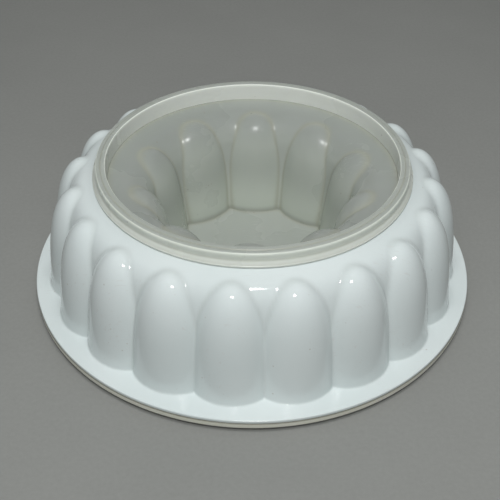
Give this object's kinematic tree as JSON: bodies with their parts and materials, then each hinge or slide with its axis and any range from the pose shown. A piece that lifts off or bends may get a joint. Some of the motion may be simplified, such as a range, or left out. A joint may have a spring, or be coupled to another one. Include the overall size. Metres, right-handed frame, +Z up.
{
  "type": "jelly mould",
  "caption": "Round fluted ring mould for jelly, stored wide side down: white fluted shell, see-through fluted centre cup over the narrow opening and see-through seal under the wide flange.",
  "frame": {"origin": "centre of the ring on the table, under the seal's standing ring", "axes": "+Z up along the axis of the ring, from the seal to the cup; the shell's and the cup's flutes are turned as in the picture, whose near side is -Y"},
  "size_m": [0.2504, 0.2504, 0.0775],
  "materials": {
    "shell_plastic": "glossy white",
    "cup_plastic": "satin, milky see-through",
    "seal_plastic": "satin, milky see-through, slightly yellowed"
  },
  "bodies": {
    "seal": {"base_seal": "seal_plastic"},
    "mould": {"mould_shell": "shell_plastic"},
    "cup": {"centre_cup": "cup_plastic"}
  },
  "joints": [
    {"name": "mould_lift", "type": "slide", "parent": "seal", "child": "mould", "axis": [0, 0, 1], "range_m": [0, 0.1]},
    {"name": "cup_lift", "type": "slide", "parent": "mould", "child": "cup", "axis": [0, 0, 1], "range_m": [0, 0.09]}
  ]
}
